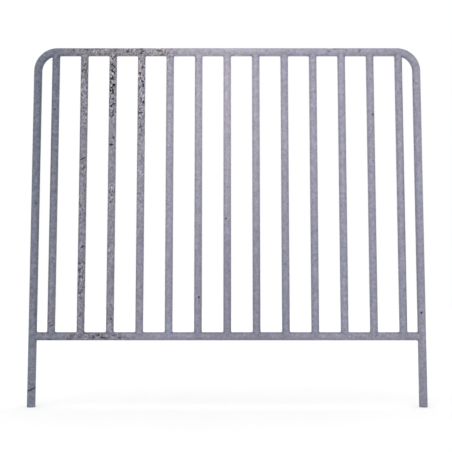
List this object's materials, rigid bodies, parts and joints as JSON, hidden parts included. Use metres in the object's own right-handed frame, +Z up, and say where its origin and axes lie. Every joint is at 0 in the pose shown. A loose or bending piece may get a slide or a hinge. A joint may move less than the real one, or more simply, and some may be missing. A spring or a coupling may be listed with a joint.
{
  "type": "crowd control barrier",
  "caption": "Galvanised crowd control barrier: a bent tube frame with rounded top corners, a lower rail and upright bars, on two plain tube legs.",
  "frame": {"origin": "on the ground, midway between the two leg ends, at the bottom centre of the part's box", "axes": "+X along the barrier towards its right post seen from the front, +Y through it towards the back, +Z up"},
  "size_m": [1.2, 0.0282, 1.1],
  "materials": {
    "galvanised_tube": "hot-dip galvanised steel, dull and mottled",
    "galvanised_weld": "rippled weld bead under hot-dip zinc"
  },
  "bodies": {
    "root": {"bent_frame": "galvanised_tube", "lower_rail": "galvanised_tube", "bar_01": "galvanised_tube", "bar_02": "galvanised_tube", "bar_03": "galvanised_tube", "bar_04": "galvanised_tube", "bar_05": "galvanised_tube", "bar_06": "galvanised_tube", "bar_07": "galvanised_tube", "bar_08": "galvanised_tube", "bar_09": "galvanised_tube", "bar_10": "galvanised_tube", "bar_11": "galvanised_tube", "bar_12": "galvanised_tube", "bar_13": "galvanised_tube", "top_weld_01": "galvanised_weld", "top_weld_02": "galvanised_weld", "top_weld_03": "galvanised_weld", "top_weld_04": "galvanised_weld", "top_weld_05": "galvanised_weld", "top_weld_06": "galvanised_weld", "top_weld_07": "galvanised_weld", "top_weld_08": "galvanised_weld", "top_weld_09": "galvanised_weld", "top_weld_10": "galvanised_weld", "top_weld_11": "galvanised_weld", "top_weld_12": "galvanised_weld", "top_weld_13": "galvanised_weld", "bottom_weld_01": "galvanised_weld", "bottom_weld_02": "galvanised_weld", "bottom_weld_03": "galvanised_weld", "bottom_weld_04": "galvanised_weld", "bottom_weld_05": "galvanised_weld", "bottom_weld_06": "galvanised_weld", "bottom_weld_07": "galvanised_weld", "bottom_weld_08": "galvanised_weld", "bottom_weld_09": "galvanised_weld", "bottom_weld_10": "galvanised_weld", "bottom_weld_11": "galvanised_weld", "bottom_weld_12": "galvanised_weld", "bottom_weld_13": "galvanised_weld", "left_rail_weld": "galvanised_weld", "right_rail_weld": "galvanised_weld"}
  },
  "joints": []
}
